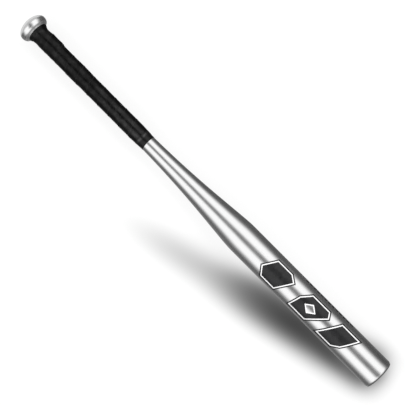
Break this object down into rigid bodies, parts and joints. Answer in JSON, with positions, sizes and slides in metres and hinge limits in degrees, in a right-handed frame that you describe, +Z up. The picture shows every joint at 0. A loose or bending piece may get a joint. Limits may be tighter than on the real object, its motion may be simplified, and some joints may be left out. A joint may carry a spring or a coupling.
{
  "type": "baseball bat",
  "caption": "One-piece aluminium bat: swaged tube with wide barrel and long taper, domed knob, wrapped handle, plugged barrel end and a plain geometric print.",
  "frame": {"origin": "centre of the flat end of the knob, on the bat's axis", "axes": "+X along the bat's axis from the knob to the barrel's end, +Z up as the bat lies on the ground, with the print on the upper side"},
  "size_m": [0.813, 0.054, 0.0541],
  "materials": {
    "satin_aluminium": "satin, brushed round",
    "knob_aluminium": "turned and satin polished",
    "weld": "as welded",
    "end_cap_urethane": "moulded, fine grain",
    "plug_rubber": "matte",
    "damping_foam": "closed-cell foam, matte",
    "underlay_tape": "double-sided tape",
    "build_up_tape": "cushion tape",
    "grip_leather": "grained synthetic leather, semi-matte",
    "finishing_tape": "vinyl tape",
    "print_dark_ink": "screen-printed ink",
    "print_white_ink": "screen-printed ink"
  },
  "bodies": {
    "root": {"bat_tube": "satin_aluminium", "end_cap": "end_cap_urethane", "knob": "knob_aluminium", "knob_weld_bead": "weld", "knob_plug": "plug_rubber", "throat_damping_plug": "damping_foam", "grip_underlay": "underlay_tape", "grip_build_up": "build_up_tape", "grip_wrap": "grip_leather", "grip_finishing_tape": "finishing_tape", "print_dark": "print_dark_ink", "print_white": "print_white_ink", "print_side_dashes": "print_dark_ink"}
  },
  "joints": []
}
